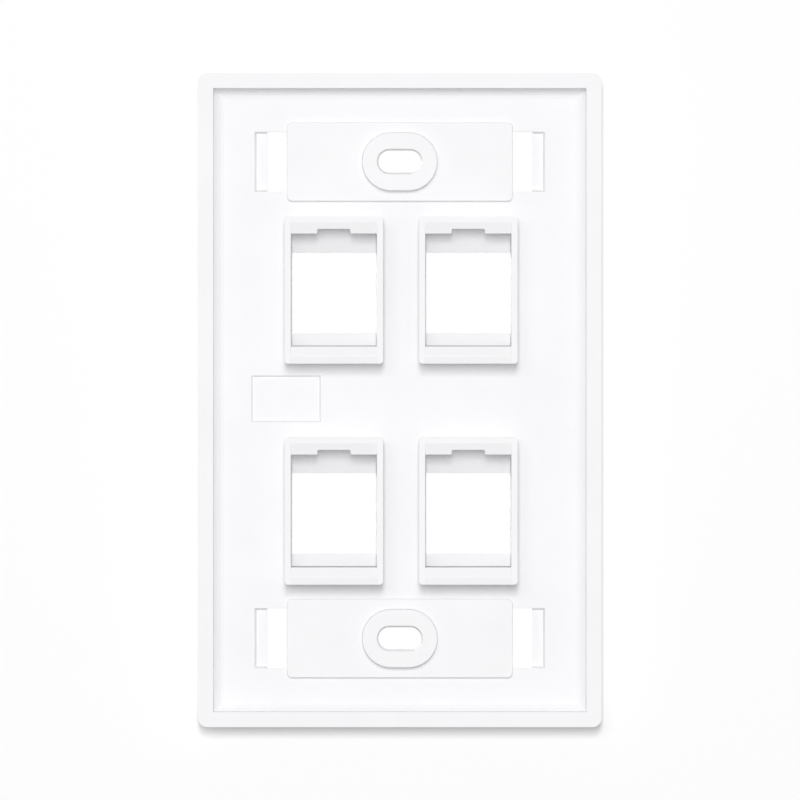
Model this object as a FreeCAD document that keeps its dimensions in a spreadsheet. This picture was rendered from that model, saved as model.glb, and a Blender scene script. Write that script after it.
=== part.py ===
import FreeCAD, Part
import math
import os

import Sketcher

# A single-gang wall plate for four keystone jacks, moulded in one piece.
#
# The plate stands as it hangs on a wall: +Z is up, the finished front faces -Y and the wall lies at +Y.
# The origin is the middle of the plate, in the plane of the rear rim that meets the wall.
# A dimension called a level is a depth counted from the front face towards the wall.

# Driving dimensions, in millimetres or degrees: name, value, what it measures.
DIMENSIONS = (
    ("plate_width", 70.5, "single-gang plate, side to side"),
    ("plate_height", 114.3, "single-gang plate, top to bottom"),
    ("plate_depth", 6.2, "level of the rear rim"),
    ("corner_radius", 1.6, "corners of the rear outline"),
    ("front_inset", 2.1, "how far the sides lean in towards the front"),
    ("front_corner_radius", 4.2, "corners of the front outline"),
    ("front_edge_radius", 3.0, "rounding of the front edge"),
    ("rim_land", 0.8, "straight part of the outer side, next to the wall"),
    ("rim_width", 2.65, "flat rear rim"),
    ("wall_draft", 1.0, "degrees, the upright part of the inner wall"),
    ("foot_facet", 0.58, "width of each of the three facets at the inner wall's foot"),
    ("foot_tilt", 11.5, "degrees, how much more each facet tilts than the one inside it"),
    ("skin", 2.0, "front wall thickness, the level of the floor"),
    ("screw_spacing", 83.34, "screw slot to screw slot"),
    ("block_width", 39.5, "back of the label recess"),
    ("block_height", 13.8, "back of the label recess"),
    ("block_level", 3.0, "back of the label recess"),
    ("block_radius", 0.9, "corners of the recess back"),
    ("block_draft", 2.0, "degrees"),
    ("boss_length", 13.3, "screw boss across the plate"),
    ("boss_height", 10.3, "screw boss up the plate"),
    ("boss_level", 5.0, "back of the screw boss"),
    ("boss_draft", 3.0, "degrees"),
    ("slot_length", 8.05, "screw slot where it leaves the boss"),
    ("slot_height", 4.45, "screw slot where it leaves the boss"),
    ("slot_narrowing", 0.3, "how much the slot narrows on each side"),
    ("head_height", 7.6, "countersink up the plate, at the label recess"),
    ("head_half_angle", 41.0, "degrees"),
    ("label_depth", 1.5, "label recess in the front face"),
    ("clip_reach", 23.2, "outer end of a cover's clip slot from the middle"),
    ("clip_height", 10.5, "clip slot up the plate"),
    ("ledge_width", 2.2, "rear ledge that a cover's clip catches"),
    ("ledge_level", 1.1, "back of that ledge"),
    ("ledge_draft", 20.0, "degrees"),
    ("port_pitch_x", 23.46, "port to port across the plate"),
    ("port_pitch_z", 38.57, "port to port up the plate"),
    ("port_drop", 0.1, "how far the ports sit below the middle"),
    ("port_shift", 0.23, "how far the ports sit from the middle towards -X"),
    ("housing_width", 17.2, "port housing, outside"),
    ("housing_height", 25.7, "port housing, outside"),
    ("housing_level", 9.4, "back of the port housing"),
    ("housing_radius", 0.6, "outer corners of the port housing"),
    ("housing_wall", 1.03, "top and bottom walls of the port housing"),
    ("opening_width", 14.65, "port opening at the front"),
    ("opening_height", 14.15, "port opening at the front"),
    ("opening_drop", 0.48, "opening's middle below the housing's middle"),
    ("port_flare", 0.2, "how far each side inside a port leans out towards the wall"),
    ("lip_edge", 9.86, "latch lip's edge above the housing's middle"),
    ("lip_fall", 0.5, "how far the latch lip's ramp falls towards the front"),
    ("lip_level", 7.4, "front of the latch lip"),
    ("notch_width", 5.8, "release notch in the latch lip"),
    ("notch_depth", 0.82, "release notch in the latch lip"),
    ("notch_radius", 0.3, "corners of the release notch"),
    ("pocket_rise", 2.0, "how far the latch pocket's floor rises up to the top wall"),
    ("sill_width", 2.12, "sill rib below the opening"),
    ("sill_level", 3.0, "back of the sill rib"),
    ("hook_edge", 9.84, "hook bar's edge below the housing's middle"),
    ("hook_level", 6.6, "front of the hook bar"),
    ("hook_land", 2.3, "upright edge of the hook bar"),
    ("hook_ramp", 1.5, "how far the hook bar's ramp runs down the plate"),
    ("ridge_width", 0.35, "flat ridge below that ramp"),
    ("toe_fall", 0.2, "how far the toe below the ridge falls"),
    ("mark_width", 12.1, "bare recessed pad"),
    ("mark_height", 8.15, "bare recessed pad"),
    ("mark_x", 19.9, "middle of the pad from the plate's middle"),
    ("mark_z", 0.2, "middle of the pad from the plate's middle"),
    ("mark_depth", 0.5, "recess of the pad"),
    ("mark_draft", 22.0, "degrees"),
    ("edge_break", 0.08, "softened rear edges of blocks and bosses"),
    ("front_break", 0.35, "softened edges of the front openings"),
)
COLUMNS = 2
ROWS = 2
MATCH = 0.01  # mm, how near geometry must lie to count as the place meant
ORIGIN_POINT = (-1, 1)  # a sketch's own origin, in the terms of its constraints
START, END, CENTRE = 1, 2, 3  # the points of a line or an arc, in the same terms


def make_sheet(doc):
    """Put the driving dimensions in a spreadsheet, one aliased cell each."""
    sheet = doc.addObject("Spreadsheet::Sheet", "dims")
    for row, (alias, value, meaning) in enumerate(DIMENSIONS, start=1):
        sheet.set(f"A{row}", alias)
        sheet.set(f"B{row}", str(value))
        sheet.set(f"C{row}", meaning)
        sheet.setAlias(f"B{row}", alias)
    doc.recompute()
    return sheet


def number(body, expression):
    """What an expression in the sheet's names comes to, as a plain number."""
    result = body.evalExpression(expression)
    return float(getattr(result, "Value", result))


def plane_of(body, role):
    """One of the body's origin planes or axes."""
    return next(item for item in body.Origin.OriginFeatures if item.Role == role)


def in_front_of_rim(level):
    """Expression for how far a level lies in front of the rear rim."""
    return f"dims.plate_depth - ({level})"


def add_sketch(body, name, role, x="0", y="0", away="0"):
    """Sketch on an origin plane, its own origin moved by x, y and away, all three expressions."""
    sketch = body.newObject("Sketcher::SketchObject", name)
    sketch.AttachmentSupport = [(plane_of(body, role), "")]
    sketch.MapMode = "FlatFace"
    for axis, expression in zip("xyz", (x, y, away)):
        sketch.setExpression(f"AttachmentOffset.Base.{axis}", expression)
    return sketch


def face_sketch(body, name, level, x="0", z="0"):
    """Sketch parallel to the plate's front, at a level, centred at x and z."""
    return add_sketch(body, name, "XZ_Plane", x, z, in_front_of_rim(level))


def bind(sketch, kind, *terms):
    """Add a dimension to a sketch and bind it to an expression, the last of the terms."""
    *references, expression = terms
    index = sketch.addConstraint(
        Sketcher.Constraint(kind, *references, number(sketch, expression))
    )
    sketch.setExpression(f"Constraints[{index}]", expression)


def add_lines(sketch, corners):
    """Draw a closed run of lines through corners and join their ends."""
    vectors = [FreeCAD.Vector(x, y, 0) for x, y in corners]
    first = sketch.GeometryCount
    for start, end in zip(vectors, vectors[1:] + vectors[:1]):
        sketch.addGeometry(Part.LineSegment(start, end))
    lines = range(first, sketch.GeometryCount)
    for line, following in zip(lines, [*lines[1:], first]):
        sketch.addConstraint(Sketcher.Constraint("Coincident", line, END, following, START))
    return list(lines)


def rectangle(sketch, width, height):
    """Rectangle about the sketch's origin."""
    right, top = number(sketch, width) / 2, number(sketch, height) / 2
    bottom_line, right_line, top_line, left_line = add_lines(
        sketch, [(-right, -top), (right, -top), (right, top), (-right, top)]
    )
    for line in (bottom_line, top_line):
        sketch.addConstraint(Sketcher.Constraint("Horizontal", line))
    for line in (right_line, left_line):
        sketch.addConstraint(Sketcher.Constraint("Vertical", line))
    sketch.addConstraint(
        Sketcher.Constraint("Symmetric", bottom_line, START, top_line, START, *ORIGIN_POINT)
    )
    bind(sketch, "DistanceX", bottom_line, START, bottom_line, END, width)
    bind(sketch, "DistanceY", right_line, START, right_line, END, height)


def corner_arc(centre, radius, start_angle, sweep):
    """Arc about a centre, counter-clockwise from a start angle in degrees."""
    circle = Part.Circle(FreeCAD.Vector(*centre, 0), FreeCAD.Vector(0, 0, 1), radius)
    return Part.ArcOfCircle(circle, math.radians(start_angle), math.radians(start_angle + sweep))


def rounded_rectangle(sketch, width, height, radius):
    """Rectangle with round corners about the sketch's origin."""
    r = number(sketch, radius)
    right, top = number(sketch, width) / 2, number(sketch, height) / 2
    sides = (
        ((-right + r, -top), (right - r, -top)),
        ((right, -top + r), (right, top - r)),
        ((right - r, top), (-right + r, top)),
        ((-right, top - r), (-right, -top + r)),
    )
    centres = (
        (right - r, -top + r),
        (right - r, top - r),
        (-right + r, top - r),
        (-right + r, -top + r),
    )
    lines = [
        sketch.addGeometry(Part.LineSegment(FreeCAD.Vector(*a, 0), FreeCAD.Vector(*b, 0)))
        for a, b in sides
    ]
    arcs = [
        sketch.addGeometry(corner_arc(centre, r, -90 + 90 * turn, 90))
        for turn, centre in enumerate(centres)
    ]
    for turn, (line, arc) in enumerate(zip(lines, arcs)):
        following = lines[(turn + 1) % len(lines)]
        sketch.addConstraint(Sketcher.Constraint("Tangent", line, END, arc, START))
        sketch.addConstraint(Sketcher.Constraint("Tangent", arc, END, following, START))
        if turn:
            sketch.addConstraint(Sketcher.Constraint("Equal", arcs[0], arc))
    sketch.addConstraint(Sketcher.Constraint("Horizontal", lines[0]))
    sketch.addConstraint(Sketcher.Constraint("Vertical", lines[1]))
    sketch.addConstraint(
        Sketcher.Constraint("Symmetric", lines[0], START, lines[2], START, *ORIGIN_POINT)
    )
    bind(sketch, "Radius", arcs[0], radius)
    bind(sketch, "DistanceX", lines[3], START, lines[1], START, width)
    bind(sketch, "DistanceY", lines[0], START, lines[2], START, height)


def stadium(sketch, length, height):
    """Slot outline with half-round ends, lying along the sketch's first axis about its origin."""
    r = number(sketch, height) / 2
    reach = number(sketch, length) / 2 - r
    bottom = sketch.addGeometry(
        Part.LineSegment(FreeCAD.Vector(-reach, -r, 0), FreeCAD.Vector(reach, -r, 0))
    )
    right = sketch.addGeometry(corner_arc((reach, 0), r, -90, 180))
    top = sketch.addGeometry(
        Part.LineSegment(FreeCAD.Vector(reach, r, 0), FreeCAD.Vector(-reach, r, 0))
    )
    left = sketch.addGeometry(corner_arc((-reach, 0), r, 90, 180))
    loop = [bottom, right, top, left]
    for item, following in zip(loop, loop[1:] + loop[:1]):
        sketch.addConstraint(Sketcher.Constraint("Tangent", item, END, following, START))
    sketch.addConstraint(Sketcher.Constraint("Equal", right, left))
    sketch.addConstraint(Sketcher.Constraint("Horizontal", bottom))
    sketch.addConstraint(
        Sketcher.Constraint("Symmetric", left, CENTRE, right, CENTRE, *ORIGIN_POINT)
    )
    bind(sketch, "Radius", right, f"({height}) / 2")
    bind(sketch, "DistanceX", left, CENTRE, right, CENTRE, f"({length}) - ({height})")


def profile(sketch, corners):
    """Closed run of lines through corners, each a pair of expressions from the sketch's origin."""
    lines = add_lines(sketch, [(number(sketch, x), number(sketch, y)) for x, y in corners])
    for line, (x, y) in zip(lines, corners):
        bind(sketch, "DistanceX", *ORIGIN_POINT, line, START, x)
        bind(sketch, "DistanceY", *ORIGIN_POINT, line, START, y)


def check(feature):
    """Stop if a feature failed."""
    if {"Invalid", "Error"} & set(feature.State) or feature.Shape.isNull():
        raise RuntimeError(f"{feature.Name} failed: {feature.State}")


def finish_feature(body, feature, volume_before, grows):
    """Recompute, and stop if a feature failed or changed the solid the wrong way."""
    body.Document.recompute()
    check(feature)
    change = feature.Shape.Volume - volume_before
    if (change > 0) != grows or abs(change) < MATCH**2:
        raise RuntimeError(f"{feature.Name} changed the volume by {change:.4f} mm3")
    return feature


def volume_of(body):
    """Volume of the body so far, or nothing for an empty one."""
    return 0.0 if body.Shape.isNull() else body.Shape.Volume


def extrude(body, kind, sketch, length, towards_wall, draft=None):
    """Pad or pocket a sketch by a length, towards the wall or the front, with an optional draft angle."""
    before = volume_of(body)
    feature = body.newObject(f"PartDesign::{kind}", f"{sketch.Name}_{kind.lower()}")
    feature.Profile = (sketch, [""])
    sketch.Visibility = False
    # A pad runs along its sketch's normal, here towards the front, and a pocket runs against it.
    feature.Reversed = towards_wall == (kind == "Pad")
    feature.setExpression("Length", length)
    if draft:
        feature.setExpression("TaperAngle", draft)
    return finish_feature(body, feature, before, grows=kind == "Pad")


def pad(body, sketch, length, draft=None):
    """Pad that rises towards the wall."""
    return extrude(body, "Pad", sketch, length, True, draft)


def rear_pocket(body, sketch, length, draft=None):
    """Pocket cut from behind, towards the front."""
    return extrude(body, "Pocket", sketch, length, False, draft)


def front_pocket(body, sketch, length, draft=None):
    """Pocket cut from the front, towards the wall."""
    return extrude(body, "Pocket", sketch, length, True, draft)


def repeat(body, kind, name, originals, **settings):
    """Pattern or mirror features, and make the result the body's tip."""
    feature = body.newObject(f"PartDesign::{kind}", name)
    feature.Originals = originals
    for setting, value in settings.items():
        setattr(feature, setting, value)
    body.Tip = feature
    body.Document.recompute()
    check(feature)
    return feature


def mirror_up(body, name, originals):
    """Repeat features of the lower half in the upper half."""
    return repeat(body, "Mirrored", name, originals, MirrorPlane=(plane_of(body, "XY_Plane"), [""]))


def edge_names(shape, wanted):
    """Names of the edges of a shape whose points all pass a test."""
    names = []
    for index, edge in enumerate(shape.Edges, start=1):
        if all(wanted(point) for point in edge.discretize(3)):
            names.append(f"Edge{index}")
    return names


def soften(body, kind, name, size_name, size, wanted):
    """Fillet or chamfer the edges that pass a test."""
    base = body.Tip
    before = volume_of(body)
    edges = edge_names(base.Shape, wanted)
    if not edges:
        raise RuntimeError(f"{name} found no edge")
    feature = body.newObject(f"PartDesign::{kind}", name)
    feature.Base = (base, edges)
    feature.setExpression(size_name, size)
    body.Document.recompute()
    check(feature)
    if math.isclose(feature.Shape.Volume, before, abs_tol=MATCH**2):
        raise RuntimeError(f"{name} changed nothing")
    return feature


def at_level(body, level):
    """Test for points at a level."""
    y = -number(body, in_front_of_rim(level))
    return lambda point: abs(point.y - y) < MATCH


def make_shell(body):
    """Tray of the plate: straight land at the wall, sides that lean in, and a rounded front edge."""
    rim = face_sketch(body, "rim", "dims.plate_depth")
    rounded_rectangle(rim, "dims.plate_width", "dims.plate_height", "dims.corner_radius")
    extrude(body, "Pad", rim, "dims.rim_land", towards_wall=False)

    land_level = "dims.plate_depth - dims.rim_land"
    shoulder = face_sketch(body, "shoulder", land_level)
    rounded_rectangle(shoulder, "dims.plate_width", "dims.plate_height", "dims.corner_radius")
    front = face_sketch(body, "front", "0")
    rounded_rectangle(
        front,
        "dims.plate_width - 2 * dims.front_inset",
        "dims.plate_height - 2 * dims.front_inset",
        "dims.front_corner_radius",
    )
    before = volume_of(body)
    sides = body.newObject("PartDesign::AdditiveLoft", "leaning_sides")
    sides.Profile = (shoulder, [""])
    sides.Sections = [(front, [""])]
    sides.Ruled = True
    finish_feature(body, sides, before, grows=True)
    soften(body, "Fillet", "front_edge", "Radius", "dims.front_edge_radius", at_level(body, "0"))

    wide, high = (f"dims.plate_{side} - 2 * dims.rim_width" for side in ("width", "height"))
    tray = face_sketch(body, "tray", "dims.plate_depth")
    rectangle(tray, wide, high)
    rises = [f"dims.foot_facet * tan({turns} * dims.foot_tilt * 1deg)" for turns in (1, 2, 3)]
    upright = f"(dims.plate_depth - dims.skin - ({' + '.join(rises)}))"
    rear_pocket(body, tray, upright, "-dims.wall_draft")
    inset = f"{upright} * tan(dims.wall_draft * 1deg)"
    for turns in (3, 2, 1):
        facet = face_sketch(body, f"foot_{turns}", f"dims.skin + {' + '.join(rises[:turns])}")
        rectangle(facet, f"{wide} - 2 * ({inset})", f"{high} - 2 * ({inset})")
        rear_pocket(body, facet, rises[turns - 1], f"{turns} * dims.foot_tilt - 90")
        inset += " + dims.foot_facet"


def make_label_ends(body):
    """Backs of the label recesses with their screw bosses, below and above the ports."""
    middle = "-dims.screw_spacing / 2"
    block = face_sketch(body, "block", "dims.skin", z=middle)
    rounded_rectangle(block, "dims.block_width", "dims.block_height", "dims.block_radius")
    block_pad = pad(body, block, "dims.block_level - dims.skin", "-dims.block_draft")
    boss = face_sketch(body, "boss", "dims.block_level", z=middle)
    stadium(boss, "dims.boss_length", "dims.boss_height")
    boss_pad = pad(body, boss, "dims.boss_level - dims.block_level", "-dims.boss_draft")
    mirror_up(body, "upper_block", [block_pad, boss_pad])

    on_block = at_level(body, "dims.block_level")
    boss_reach = number(body, "dims.boss_length / 2") + MATCH
    boss_rise = number(body, "dims.boss_height / 2") + MATCH
    half_spacing = number(body, "dims.screw_spacing / 2")

    def on_block_outline(point):
        beside_boss = abs(point.x) > boss_reach or abs(abs(point.z) - half_spacing) > boss_rise
        return on_block(point) and beside_boss

    soften(body, "Chamfer", "block_edges", "Size", "dims.edge_break", on_block_outline)
    on_boss = at_level(body, "dims.boss_level")
    soften(body, "Chamfer", "boss_edges", "Size", "dims.edge_break", on_boss)


def cut_label_recesses(body):
    """Front recesses for the labels, with a countersunk slot in each for its screw."""
    middle = "-dims.screw_spacing / 2"
    label = face_sketch(body, "label", "0", z=middle)
    rectangle(label, "2 * dims.clip_reach", "dims.clip_height")
    label_pocket = front_pocket(body, label, "dims.label_depth")

    narrow = "(dims.slot_height / 2 - dims.slot_narrowing)"
    head_depth = f"(dims.head_height / 2 - {narrow}) / tan(dims.head_half_angle * 1deg)"
    head = face_sketch(body, "head", "dims.label_depth", z=middle)
    stadium(head, "dims.head_height + dims.slot_length - dims.slot_height", "dims.head_height")
    head_pocket = front_pocket(body, head, head_depth, "-dims.head_half_angle")

    slot = face_sketch(body, "slot", "dims.boss_level", z=middle)
    stadium(slot, "dims.slot_length", "dims.slot_height")
    slot_depth = f"dims.boss_level - dims.label_depth - {head_depth}"
    slot_pocket = rear_pocket(body, slot, slot_depth, f"-atan(dims.slot_narrowing / ({slot_depth}))")
    mirror_up(body, "upper_label", [label_pocket, head_pocket, slot_pocket])


def cut_clip_slots(body):
    """Slots at both ends of each label recess, with a rear ledge that a cover's clip catches."""
    middle = "-dims.screw_spacing / 2"
    inner, outer = "dims.block_width / 2", "(dims.clip_reach + dims.ledge_width)"
    ledge = face_sketch(body, "ledge", "dims.skin", x=f"({inner} + {outer}) / 2", z=middle)
    rectangle(ledge, f"{outer} - {inner}", "dims.clip_height")
    ledge_pocket = rear_pocket(body, ledge, "dims.skin - dims.ledge_level", "-dims.ledge_draft")
    clip = face_sketch(body, "clip", "dims.skin", x=f"({inner} + dims.clip_reach) / 2", z=middle)
    rectangle(clip, f"dims.clip_reach - {inner}", "dims.clip_height")
    clip_pocket = rear_pocket(body, clip, "dims.skin - dims.label_depth")

    four = body.newObject("PartDesign::MultiTransform", "clip_slots")
    across = body.newObject("PartDesign::Mirrored", "clip_across")
    across.MirrorPlane = (plane_of(body, "YZ_Plane"), [""])
    upwards = body.newObject("PartDesign::Mirrored", "clip_upwards")
    upwards.MirrorPlane = (plane_of(body, "XY_Plane"), [""])
    four.Originals = [ledge_pocket, clip_pocket]
    four.Transformations = [across, upwards]
    body.Tip = four
    body.Document.recompute()
    check(four)


def lip_corners():
    """Side view of the latch lip: (level, height above the housing's middle) pairs."""
    inside = "dims.housing_height / 2 - dims.housing_wall"
    return (
        ("dims.lip_level", inside),
        ("dims.lip_level", "dims.lip_edge"),
        ("dims.housing_level - dims.lip_fall", "dims.lip_edge"),
        ("dims.housing_level", inside),
    )


def pocket_corners():
    """Side view of the latch pocket's floor, which slopes up from the opening to the top wall."""
    opening_top = "dims.opening_height / 2 - dims.opening_drop"
    inside = "dims.housing_height / 2 - dims.housing_wall"
    return (
        ("dims.skin", opening_top),
        ("dims.skin + dims.pocket_rise", inside),
        ("dims.skin", inside),
    )


def hook_corners():
    """Side view of the hook bar, whose ramp leads a jack's lug over it."""
    inside = "-dims.housing_height / 2 + dims.housing_wall"
    return (
        ("dims.hook_level", inside),
        ("dims.hook_level", "-dims.hook_edge"),
        ("dims.hook_level + dims.hook_land", "-dims.hook_edge"),
        ("dims.housing_level", "-dims.hook_edge - dims.hook_ramp"),
        ("dims.housing_level", inside),
    )


def sill_corners():
    """Side view of the sill rib that stands on the floor below the opening."""
    top = "-dims.opening_height / 2 - dims.opening_drop"
    return (
        ("dims.skin", top),
        ("dims.sill_level", top),
        ("dims.sill_level", f"{top} - dims.sill_width"),
        ("dims.skin", f"{top} - dims.sill_width"),
    )


def toe_corners():
    """Side view of what is cut from the bottom wall to slope it away below the hook bar's ridge."""
    ridge_end = "-dims.hook_edge - dims.hook_ramp - dims.ridge_width"
    outside = "-dims.housing_height / 2"
    return (
        ("dims.housing_level", ridge_end),
        ("dims.housing_level - dims.toe_fall", outside),
        ("dims.housing_level", outside),
    )


def side_extrude(body, kind, name, corners, width, x, z):
    """Pad or pocket a side view to a width, half to each side of a port's middle."""
    side = add_sketch(body, name, "YZ_Plane", y=z, away=x)
    profile(side, [(f"{level} - dims.plate_depth", height) for level, height in corners])
    before = volume_of(body)
    feature = body.newObject(f"PartDesign::{kind}", f"{name}_{kind.lower()}")
    feature.Profile = (side, [""])
    feature.SideType = "Symmetric"
    feature.setExpression("Length", width)
    return finish_feature(body, feature, before, grows=kind == "Pad")


def cut_cavity(body, x, z):
    """Hollow of a port housing, a little wider at the wall than at the floor."""
    height = "dims.housing_height - 2 * dims.housing_wall"
    floor = face_sketch(body, "cavity_floor", "dims.skin", x, z)
    rectangle(floor, "dims.opening_width", height)
    mouth = face_sketch(body, "cavity_mouth", "dims.housing_level", x, z)
    rectangle(mouth, "dims.opening_width + 2 * dims.port_flare", height)
    before = volume_of(body)
    cavity = body.newObject("PartDesign::SubtractiveLoft", "cavity")
    cavity.Profile = (floor, [""])
    cavity.Sections = [(mouth, [""])]
    cavity.Ruled = True
    return finish_feature(body, cavity, before, grows=False)


def make_ports(body):
    """Four port housings, each with a notched latch lip above and a hook bar below."""
    x = "-dims.port_pitch_x / 2 - dims.port_shift"
    z = "-dims.port_pitch_z / 2 - dims.port_drop"
    housing = face_sketch(body, "housing", "dims.skin", x, z)
    rounded_rectangle(housing, "dims.housing_width", "dims.housing_height", "dims.housing_radius")
    port = [pad(body, housing, "dims.housing_level - dims.skin"), cut_cavity(body, x, z)]

    # The bars run into the side walls, half way to the outside.
    into_walls = "(dims.opening_width + dims.housing_width) / 2"
    bars = {
        "lip": lip_corners(),
        "pocket": pocket_corners(),
        "hook": hook_corners(),
        "sill": sill_corners(),
    }
    for name, corners in bars.items():
        port.append(side_extrude(body, "Pad", name, corners, into_walls, x, z))
    mouth_width = "dims.opening_width + 2 * dims.port_flare"
    port.append(side_extrude(body, "Pocket", "toe", toe_corners(), mouth_width, x, z))

    opening = face_sketch(body, "opening", "0", x, f"{z} - dims.opening_drop")
    rectangle(opening, "dims.opening_width", "dims.opening_height")
    port.append(front_pocket(body, opening, "dims.skin"))
    notch = face_sketch(body, "notch", "dims.housing_level", x, f"{z} + dims.lip_edge")
    rounded_rectangle(notch, "dims.notch_width", "2 * dims.notch_depth", "dims.notch_radius")
    port.append(rear_pocket(body, notch, "dims.housing_level - dims.lip_level"))

    ports = repeat(
        body,
        "LinearPattern",
        "ports",
        port,
        Direction=(plane_of(body, "X_Axis"), [""]),
        Occurrences=COLUMNS,
        Direction2=(plane_of(body, "Z_Axis"), [""]),
        Occurrences2=ROWS,
    )
    ports.setExpression("Length", "dims.port_pitch_x")
    ports.setExpression("Length2", "dims.port_pitch_z")
    body.Document.recompute()
    check(ports)


def cut_mark(body):
    """Bare recessed pad between the port rows."""
    mark = face_sketch(body, "mark", "dims.skin", "dims.mark_x", "dims.mark_z")
    rectangle(mark, "dims.mark_width", "dims.mark_height")
    rear_pocket(body, mark, "dims.mark_depth", "-dims.mark_draft")


def soften_front(body):
    """Take the sharpness off the edges of the front's openings and recesses."""
    on_front = at_level(body, "0")
    inside_x = number(body, "dims.plate_width / 2 - dims.front_inset - dims.front_edge_radius")
    inside_z = number(body, "dims.plate_height / 2 - dims.front_inset - dims.front_edge_radius")

    def in_front_face(point):
        return on_front(point) and abs(point.x) < inside_x and abs(point.z) < inside_z

    soften(body, "Chamfer", "front_openings", "Size", "dims.front_break", in_front_face)


def write_parts(doc, bodies):
    """Check every object of the document, then write each body's solid to a file of its label's name."""
    for item in doc.Objects:
        if {"Invalid", "Error"} & set(item.State):
            raise RuntimeError(f"{item.Name} is {item.State}")
    for body in bodies:
        if body.Shape.isNull() or not body.Shape.isValid() or len(body.Shape.Solids) != 1:
            raise RuntimeError(f"{body.Label} isn't one valid solid")
    os.makedirs("parts", exist_ok=True)
    for body in bodies:
        body.Shape.exportStep(f"parts/{body.Label}.step")
        print(f"{body.Label}: {body.Shape.Volume:.1f} mm3, {len(body.Shape.Faces)} faces")


def main():
    """Build the faceplate and write its solid."""
    doc = FreeCAD.newDocument("keystone_faceplate")
    make_sheet(doc)
    body = doc.addObject("PartDesign::Body", "faceplate")
    body.Label = "faceplate"
    body.Placement = FreeCAD.Placement()
    doc.recompute()
    make_shell(body)
    make_label_ends(body)
    cut_label_recesses(body)
    cut_clip_slots(body)
    make_ports(body)
    cut_mark(body)
    soften_front(body)
    write_parts(doc, [body])


main()
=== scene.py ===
"""A white single-gang wall plate for four keystone jacks, seen from behind in a white studio.

Lengths are metres. +Z is up, the plate's finished front faces -Y and its open back faces +Y.
"""

import logging
import math
from dataclasses import dataclass, field
from enum import Enum

import bmesh
import bpy
from mathutils import Matrix, Vector


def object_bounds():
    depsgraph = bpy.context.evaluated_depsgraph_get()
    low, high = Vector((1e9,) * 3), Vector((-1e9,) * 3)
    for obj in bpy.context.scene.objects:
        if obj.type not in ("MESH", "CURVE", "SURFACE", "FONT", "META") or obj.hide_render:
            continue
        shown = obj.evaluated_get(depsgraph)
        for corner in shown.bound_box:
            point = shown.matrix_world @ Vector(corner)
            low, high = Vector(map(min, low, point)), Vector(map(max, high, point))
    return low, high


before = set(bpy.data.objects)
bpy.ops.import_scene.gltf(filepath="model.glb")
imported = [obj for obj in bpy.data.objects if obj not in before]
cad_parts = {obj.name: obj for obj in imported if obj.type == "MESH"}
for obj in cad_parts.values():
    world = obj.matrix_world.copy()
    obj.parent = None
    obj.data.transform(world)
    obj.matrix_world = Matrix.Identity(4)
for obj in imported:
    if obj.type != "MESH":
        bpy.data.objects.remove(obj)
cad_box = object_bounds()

log = logging.getLogger("keystone_faceplate")

MM = 0.001
NODE_STEP = 220.0
Colour = tuple[float, float, float]
Point = tuple[float, float, float]
Range = tuple[float, float]


class Side(Enum):
    """Which side of the plate something faces, as the sign of its Y axis."""

    BACK = 1.0
    FRONT = -1.0


class RayKind(Enum):
    """Outputs of the Light Path node that see the plain white surroundings."""

    CAMERA = "Is Camera Ray"
    GLOSSY = "Is Glossy Ray"
    TRANSMISSION = "Is Transmission Ray"


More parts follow.
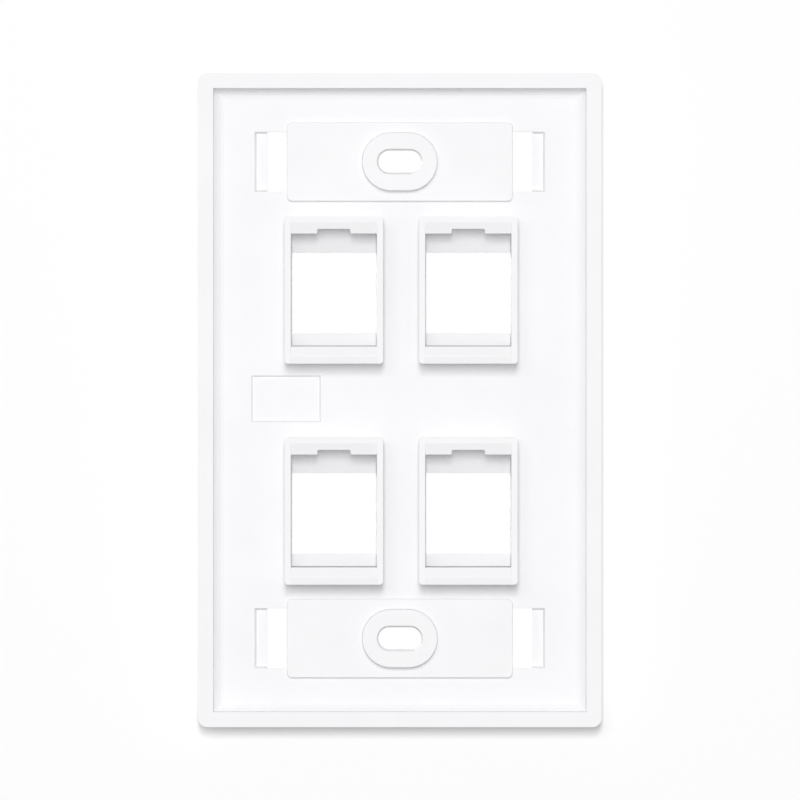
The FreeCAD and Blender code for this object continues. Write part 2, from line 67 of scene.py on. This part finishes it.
class NodeGraph:
    """A node tree under construction, with its nodes laid out from left to right."""

    def __init__(self, tree: bpy.types.NodeTree) -> None:
        """Start from an empty tree.

        Args:
            tree: the node tree of a material or a world.
        """
        self.tree = tree
        self.tree.nodes.clear()

    def add(self, kind: str, **settings: object) -> bpy.types.Node:
        """Add a node and set its own properties.

        Args:
            kind: the node's type, such as "ShaderNodeBump".
            settings: properties of the node itself, not of its sockets.

        Returns:
            The new node.
        """
        node = self.tree.nodes.new(kind)
        node.location.x = NODE_STEP * len(self.tree.nodes)
        for name, value in settings.items():
            setattr(node, name, value)
        return node

    def link(self, source: bpy.types.NodeSocket, target: bpy.types.NodeSocket) -> None:
        """Join two sockets."""
        self.tree.links.new(source, target)

    def math(
        self,
        operation: str,
        first: bpy.types.NodeSocket,
        second: "bpy.types.NodeSocket | float",
    ) -> bpy.types.NodeSocket:
        """Work out a number from a socket and a second socket or constant.

        Args:
            operation: the Math node's operation, such as "MULTIPLY".
            first: the first value's socket.
            second: the second value, a socket or a plain number.

        Returns:
            The socket that carries the result.
        """
        node = self.add("ShaderNodeMath", operation=operation)
        self.link(first, node.inputs[0])
        if isinstance(second, bpy.types.NodeSocket):
            self.link(second, node.inputs[1])
        else:
            node.inputs[1].default_value = second
        return node.outputs[0]

    def remap(
        self,
        value: bpy.types.NodeSocket,
        source: Range,
        result: Range,
        smooth: bool = False,
    ) -> bpy.types.NodeSocket:
        """Carry a value from one range to another, held at both ends.

        Args:
            value: the socket of the value.
            source: the range that the value is read over.
            result: what the two ends of that range become.
            smooth: ease in and out at the ends.

        Returns:
            The socket that carries the result.
        """
        node = self.add(
            "ShaderNodeMapRange", interpolation_type="SMOOTHSTEP" if smooth else "LINEAR"
        )
        self.link(value, node.inputs["Value"])
        node.inputs["From Min"].default_value, node.inputs["From Max"].default_value = source
        node.inputs["To Min"].default_value, node.inputs["To Max"].default_value = result
        return node.outputs["Result"]

    def noise(
        self,
        position: bpy.types.NodeSocket,
        grain: float,
        detail: float = 2.0,
        roughness: float = 0.5,
    ) -> bpy.types.NodeSocket:
        """Noise whose lumps have a real size.

        Args:
            position: the socket of the coordinates, in metres.
            grain: the size of one lump, in metres.
            detail: how many finer layers are laid over the first.
            roughness: how strong the finer layers are.

        Returns:
            The socket of the noise, from 0 to 1.
        """
        node = self.add("ShaderNodeTexNoise", noise_dimensions="3D")
        self.link(position, node.inputs["Vector"])
        node.inputs["Scale"].default_value = 1.0 / grain
        node.inputs["Detail"].default_value = detail
        node.inputs["Roughness"].default_value = roughness
        return node.outputs["Fac"]

    def any_ray(self, *kinds: RayKind) -> bpy.types.NodeSocket:
        """One where a ray is of any of some kinds, and nothing elsewhere.

        Args:
            kinds: the kinds of ray.

        Returns:
            The socket of that switch.
        """
        path = self.add("ShaderNodeLightPath")
        found = path.outputs[kinds[0].value]
        for kind in kinds[1:]:
            found = self.math("MAXIMUM", found, path.outputs[kind.value])
        return found


@dataclass(frozen=True)
class MouldedPlastic:
    """White moulded plastic: satin behind, where the mould is spark-eroded, and smoother in front.

    Attributes:
        name: the material's name.
        colour: the middle of its white.
        shade_spread: how far the white strays to either side of the middle.
        shade_patch: size of a patch of lighter or darker white.
        flow_range: the part of the noise that carries one white over to the other.
        back_roughness: roughness of the open back.
        front_roughness: roughness of the finished front.
        roughness_spread: how far the roughness strays to either side.
        roughness_patch: size of a patch of smoother or rougher skin.
        patch_range: the part of the noise that carries one roughness over to the other.
        grain: size of the mould's fine grain.
        grain_depth: depth of the fine grain.
        ripple: size of the slow ripple that cooling leaves in flat walls.
        ripple_depth: depth of the ripple.
        edge_radius: radius that rounds the light on sharp edges.
        edge_samples: how finely that rounding is sampled.
        scatter_weight: share of the light that scatters under the skin.
        scatter_reach: how far that light goes.
        refraction: index of refraction.
        front_level: where along Y the front's skin begins to give way to the back's.
        front_fade: the length over which it does.
    """

    name: str = "white_moulded_plastic"
    colour: Colour = (0.85, 0.85, 0.862)
    shade_spread: float = 0.006
    shade_patch: float = 17 * MM
    flow_range: Range = (0.3, 0.7)
    back_roughness: float = 0.6
    front_roughness: float = 0.34
    roughness_spread: float = 0.03
    roughness_patch: float = 6 * MM
    patch_range: Range = (0.25, 0.75)
    grain: float = 0.11 * MM
    grain_depth: float = 0.004 * MM
    ripple: float = 9 * MM
    ripple_depth: float = 0.010 * MM
    edge_radius: float = 0.06 * MM
    edge_samples: int = 4
    scatter_weight: float = 0.12
    scatter_reach: float = 0.45 * MM
    refraction: float = 1.52
    front_level: float = -6.0 * MM
    front_fade: float = 0.5 * MM

    def build(self) -> bpy.types.Material:
        """Make the material.

        Returns:
            The finished material.
        """
        material = bpy.data.materials.new(self.name)
        material.use_nodes = True
        graph = NodeGraph(material.node_tree)
        place = graph.add("ShaderNodeTexCoord").outputs["Object"]
        shader = graph.add("ShaderNodeBsdfPrincipled", subsurface_method="RANDOM_WALK")
        self._colour(graph, shader, place)
        self._roughness(graph, shader, place)
        self._relief(graph, shader, place)
        shader.inputs["IOR"].default_value = self.refraction
        shader.inputs["Subsurface Weight"].default_value = self.scatter_weight
        shader.inputs["Subsurface Radius"].default_value = (1.0, 1.0, 1.0)
        shader.inputs["Subsurface Scale"].default_value = self.scatter_reach
        output = graph.add("ShaderNodeOutputMaterial")
        graph.link(shader.outputs["BSDF"], output.inputs["Surface"])
        return material

    def _colour(
        self, graph: NodeGraph, shader: bpy.types.Node, place: bpy.types.NodeSocket
    ) -> None:
        """Vary the white a little where the melt flowed, as pigment does.

        Args:
            graph: the material's nodes.
            shader: the shader that takes the colour.
            place: the socket of the object's coordinates.
        """
        flow = graph.noise(place, self.shade_patch, detail=3.0)
        share = graph.remap(flow, self.flow_range, (0.0, 1.0), smooth=True)
        mix = graph.add("ShaderNodeMix", data_type="RGBA")
        graph.link(share, mix.inputs["Factor"])
        darker, lighter = (socket for socket in mix.inputs if socket.type == "RGBA")
        for socket, change in ((darker, -self.shade_spread), (lighter, self.shade_spread)):
            socket.default_value = (*(min(1.0, part + change) for part in self.colour), 1.0)
        mixed = next(socket for socket in mix.outputs if socket.type == "RGBA")
        graph.link(mixed, shader.inputs["Base Color"])

    def _roughness(
        self, graph: NodeGraph, shader: bpy.types.Node, place: bpy.types.NodeSocket
    ) -> None:
        """Make the front smoother than the back, and vary both in patches.

        Args:
            graph: the material's nodes.
            shader: the shader that takes the roughness.
            place: the socket of the object's coordinates.
        """
        parts = graph.add("ShaderNodeSeparateXYZ")
        graph.link(place, parts.inputs[0])
        by_side = graph.remap(
            parts.outputs["Y"],
            (self.front_level, self.front_level + self.front_fade),
            (self.front_roughness, self.back_roughness),
            smooth=True,
        )
        patch = graph.noise(place, self.roughness_patch)
        spread = graph.remap(
            patch, self.patch_range, (-self.roughness_spread, self.roughness_spread)
        )
        graph.link(graph.math("ADD", by_side, spread), shader.inputs["Roughness"])

    def _relief(
        self, graph: NodeGraph, shader: bpy.types.Node, place: bpy.types.NodeSocket
    ) -> None:
        """Round the sharp edges, then lay the mould's ripple and fine grain over them.

        Args:
            graph: the material's nodes.
            shader: the shader that takes the relief.
            place: the socket of the object's coordinates.
        """
        rounding = graph.add("ShaderNodeBevel", samples=self.edge_samples)
        rounding.inputs["Radius"].default_value = self.edge_radius
        normal = rounding.outputs["Normal"]
        for size, depth, detail in (
            (self.ripple, self.ripple_depth, 1.0),
            (self.grain, self.grain_depth, 3.0),
        ):
            bump = graph.add("ShaderNodeBump")
            bump.inputs["Distance"].default_value = depth
            graph.link(graph.noise(place, size, detail=detail), bump.inputs["Height"])
            graph.link(normal, bump.inputs["Normal"])
            normal = bump.outputs["Normal"]
        graph.link(normal, shader.inputs["Normal"])


@dataclass(frozen=True)
class WhiteSheet:
    """Plain pale surface of the studio, which keeps the plate's shadow.

    Attributes:
        name: the material's name.
        reflectance: share of the light that it gives back.
        glow: light of its own, where 1 is white.
        one_sided: clear when seen from behind.
    """

    name: str
    reflectance: float = 0.95
    glow: float = 0.0
    one_sided: bool = False

    def build(self) -> bpy.types.Material:
        """Make the material.

        Returns:
            The finished material.
        """
        material = bpy.data.materials.new(self.name)
        material.use_nodes = True
        graph = NodeGraph(material.node_tree)
        paper = graph.add("ShaderNodeBsdfDiffuse")
        paper.inputs["Color"].default_value = (*[self.reflectance] * 3, 1.0)
        lift = graph.add("ShaderNodeEmission")
        lift.inputs["Strength"].default_value = self.glow
        both = graph.add("ShaderNodeAddShader")
        graph.link(paper.outputs[0], both.inputs[0])
        graph.link(lift.outputs[0], both.inputs[1])
        surface = both.outputs[0]
        if self.one_sided:
            behind = graph.add("ShaderNodeNewGeometry").outputs["Backfacing"]
            clear = graph.add("ShaderNodeBsdfTransparent")
            choice = graph.add("ShaderNodeMixShader")
            graph.link(behind, choice.inputs[0])
            graph.link(surface, choice.inputs[1])
            graph.link(clear.outputs[0], choice.inputs[2])
            surface = choice.outputs[0]
        output = graph.add("ShaderNodeOutputMaterial")
        graph.link(surface, output.inputs["Surface"])
        return material


@dataclass
class Faceplate:
    """The moulded plate itself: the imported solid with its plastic.

    Attributes:
        node: the solid's node in the frame.
        plastic: what it is moulded in.
    """

    node: str = "faceplate"
    plastic: MouldedPlastic = field(default_factory=MouldedPlastic)

    def dress(self) -> bpy.types.Object:
        """Give the solid its plastic.

        Returns:
            The plate's object.
        """
        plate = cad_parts[self.node]
        material = self.plastic.build()
        for slot in plate.material_slots:
            slot.material = material
        if not plate.material_slots:
            plate.data.materials.append(material)
        return plate


@dataclass
class Stage:
    """Pale floor, a white sheet close behind the plate, and a bright card behind the holes.

    Behind means on the side of the plate's front, away from the camera.

    Attributes:
        floor_drop: how far the floor lies below the plate.
        floor_reach: how far the floor reaches from the middle each way.
        floor_glow: the floor's own light, which keeps it pale under lamps that graze it.
        sheet_reach: how far the sheet reaches from the middle each way.
        sheet_gap: space between the plate's front and the sheet or the card.
        opening_margin: how far the sheet's opening stays inside the plate's outline.
    """

    floor_drop: float = 16 * MM
    floor_reach: float = 1.3
    floor_glow: float = 0.2
    sheet_reach: float = 0.6
    sheet_gap: float = 0.05 * MM
    opening_margin: float = 3.2 * MM

    def build(self) -> list[bpy.types.Object]:
        """Make the floor, the sheet and the card.

        Returns:
            The three objects.
        """
        low, high = cad_box
        opening = (
            high.x - low.x - 2 * self.opening_margin,
            high.z - low.z - 2 * self.opening_margin,
        )
        pieces = [
            self._floor(low.z - self.floor_drop),
            self._sheet(opening, low.y - self.sheet_gap),
            self._card(opening, low.y - self.sheet_gap),
        ]
        for item in pieces:
            item.visible_diffuse = False
            item.visible_glossy = False
            item.visible_transmission = False
            item.visible_shadow = False
        return pieces

    def _floor(self, height: float) -> bpy.types.Object:
        """Level square under the plate.

        Args:
            height: where it lies along Z.

        Returns:
            The floor.
        """
        work = bmesh.new()
        bmesh.ops.create_grid(work, x_segments=1, y_segments=1, size=self.floor_reach)
        bmesh.ops.translate(work, vec=(0.0, 0.0, height), verts=work.verts)
        finish = WhiteSheet("floor_white", glow=self.floor_glow, one_sided=True)
        return stage_piece("floor", work, finish)

    def _sheet(self, opening: tuple[float, float], place: float) -> bpy.types.Object:
        """Upright sheet that faces the plate's back, with an opening behind the plate.

        Args:
            opening: width and height of the opening.
            place: where the sheet stands along Y.

        Returns:
            The sheet.
        """
        work = bmesh.new()
        made = bmesh.ops.create_grid(work, x_segments=1, y_segments=1, size=0.5)
        middle = list(work.faces)
        bmesh.ops.scale(work, vec=(*opening, 1.0), verts=made["verts"])
        grown = bmesh.ops.extrude_edge_only(work, edges=list(work.edges))
        outer = [item for item in grown["geom"] if isinstance(item, bmesh.types.BMVert)]
        stretch = [2 * self.sheet_reach / side for side in opening]
        bmesh.ops.scale(work, vec=(*stretch, 1.0), verts=outer)
        bmesh.ops.delete(work, geom=middle, context="FACES_ONLY")
        stand_up(work, place)
        return stage_piece("sheet", work, WhiteSheet("sheet_white", one_sided=True))

    def _card(self, opening: tuple[float, float], place: float) -> bpy.types.Object:
        """Bright card in the sheet's opening, seen through the plate's holes.

        Args:
            opening: width and height of the opening.
            place: where the card stands along Y.

        Returns:
            The card.
        """
        work = bmesh.new()
        bmesh.ops.create_grid(work, x_segments=1, y_segments=1, size=0.5)
        bmesh.ops.scale(work, vec=(*opening, 1.0), verts=work.verts)
        stand_up(work, place)
        finish = WhiteSheet("card_white", reflectance=0.0, glow=1.0, one_sided=True)
        return stage_piece("hole_card", work, finish)


def stand_up(work: bmesh.types.BMesh, place: float) -> None:
    """Stand a flat mesh up so that its faces face +Y.

    Args:
        work: the mesh, lying flat at the origin.
        place: where it goes along Y.
    """
    upright = Matrix.Rotation(math.radians(-90.0), 3, "X")
    bmesh.ops.rotate(work, cent=(0.0, 0.0, 0.0), matrix=upright, verts=work.verts)
    bmesh.ops.translate(work, vec=(0.0, place, 0.0), verts=work.verts)
    turned = [face for face in work.faces if face.normal.y < 0]
    bmesh.ops.reverse_faces(work, faces=turned)


def stage_piece(name: str, work: bmesh.types.BMesh, finish: WhiteSheet) -> bpy.types.Object:
    """Turn a bmesh into an object of the scene with a finish.

    Args:
        name: the object's name.
        work: the mesh, freed here.
        finish: what it is made of.

    Returns:
        The new object.
    """
    mesh = bpy.data.meshes.new(name)
    work.normal_update()
    work.to_mesh(mesh)
    work.free()
    mesh.materials.append(finish.build())
    item = bpy.data.objects.new(name, mesh)
    bpy.context.scene.collection.objects.link(item)
    return item


@dataclass(frozen=True)
class Softbox:
    """One soft white lamp, aimed at the plate's middle.

    Attributes:
        name: the lamp's name.
        side: the side of the plate that it stands on.
        height: its angle above the level plane, in degrees.
        sideways: its angle towards +X, in degrees.
        distance: how far it stands from the plate.
        width: its size across.
        length: its size upwards.
        level: how brightly it lights the side that it stands on, where 1 is white.
    """

    name: str
    side: Side
    height: float
    sideways: float
    distance: float
    width: float
    length: float
    level: float

    def build(self) -> bpy.types.Object:
        """Hang the lamp.

        Returns:
            The lamp's object.
        """
        up, across = math.radians(self.height), math.radians(self.sideways)
        direction = Vector(
            (
                math.sin(across) * math.cos(up),
                self.side.value * math.cos(across) * math.cos(up),
                math.sin(up),
            )
        )
        lamp = bpy.data.lights.new(self.name, "AREA")
        lamp.shape = "RECTANGLE"
        lamp.size = self.width
        lamp.size_y = self.length
        facing = abs(direction.y)
        lamp.energy = self.level * math.pi**2 * self.distance**2 / facing
        item = bpy.data.objects.new(self.name, lamp)
        item.location = direction * self.distance
        item.rotation_euler = (-direction).to_track_quat("-Z", "Y").to_euler()
        item.visible_camera = False
        bpy.context.scene.collection.objects.link(item)
        return item


@dataclass
class Studio:
    """Lamps and white surroundings.

    Attributes:
        ambient: how brightly the surroundings light the plate, where 1 is white.
        lamps: the lamps.
    """

    ambient: float = 0.45
    lamps: tuple[Softbox, ...] = (
        Softbox("key_back", Side.BACK, 9.0, 0.4, 2.4, 0.34, 0.80, 0.54),
        Softbox("left_back", Side.BACK, 12.0, 15.0, 2.0, 0.5, 0.5, 0.065),
        Softbox("key_front", Side.FRONT, 14.0, 18.0, 1.2, 0.6, 0.6, 0.42),
        Softbox("left_front", Side.FRONT, 10.0, 72.0, 1.2, 0.6, 0.8, 0.08),
        Softbox("right_front", Side.FRONT, 10.0, -72.0, 1.2, 0.6, 0.8, 0.08),
    )

    def build(self) -> list[bpy.types.Object]:
        """Light the scene.

        Returns:
            The lamps.
        """
        world = bpy.data.worlds.new("white_room")
        bpy.context.scene.world = world
        world.use_nodes = True
        graph = NodeGraph(world.node_tree)
        seen = graph.any_ray(RayKind.CAMERA, RayKind.GLOSSY, RayKind.TRANSMISSION)
        glow = graph.add("ShaderNodeBackground")
        glow.inputs["Color"].default_value = (1.0, 1.0, 1.0, 1.0)
        graph.link(graph.remap(seen, (0.0, 1.0), (self.ambient, 1.0)), glow.inputs["Strength"])
        output = graph.add("ShaderNodeOutputWorld")
        graph.link(glow.outputs[0], output.inputs["Surface"])
        return [lamp.build() for lamp in self.lamps]


@dataclass
class BackCamera:
    """Camera square to the plate's back, on a long lens.

    Attributes:
        distance: how far it stands from the plane that it frames.
        field_width: width of what it sees in that plane.
        plane: where that plane lies along Y.
        offset: how far it stands off the plate's middle.
        sensor: width of its sensor, in millimetres.
        reach: how far it sees.
    """

    distance: float = 2.7
    field_width: float = 139.8 * MM
    plane: float = -1.2 * MM
    offset: Point = (-0.04 * MM, 0.0, 0.0)
    sensor: float = 36.0
    reach: float = 20.0

    def build(self) -> bpy.types.Object:
        """Place the camera and make it the scene's own.

        Returns:
            The camera's object.
        """
        data = bpy.data.cameras.new("camera")
        data.sensor_width = self.sensor
        data.lens = self.sensor * self.distance / self.field_width
        data.clip_end = self.reach
        item = bpy.data.objects.new("camera", data)
        item.location = Vector(self.offset) + Vector((0.0, self.plane + self.distance, 0.0))
        item.rotation_euler = (math.radians(90.0), 0.0, math.radians(180.0))
        bpy.context.scene.collection.objects.link(item)
        bpy.context.scene.camera = item
        return item


def main() -> None:
    """Build everything in order and report each piece."""
    logging.basicConfig(level=logging.INFO, format="%(name)s: %(message)s")
    plate = Faceplate().dress()
    log.info("%s dressed, %d triangles", plate.name, len(plate.data.polygons))
    for item in Stage().build():
        log.info("%s laid", item.name)
    for lamp in Studio().build():
        log.info("%s hung, %.2f W", lamp.name, lamp.data.energy)
    camera = BackCamera().build()
    log.info("%s placed, %.0f mm lens", camera.name, camera.data.lens)
    bpy.context.scene.view_settings.view_transform = "Standard"


if __name__ == "__main__":
    main()
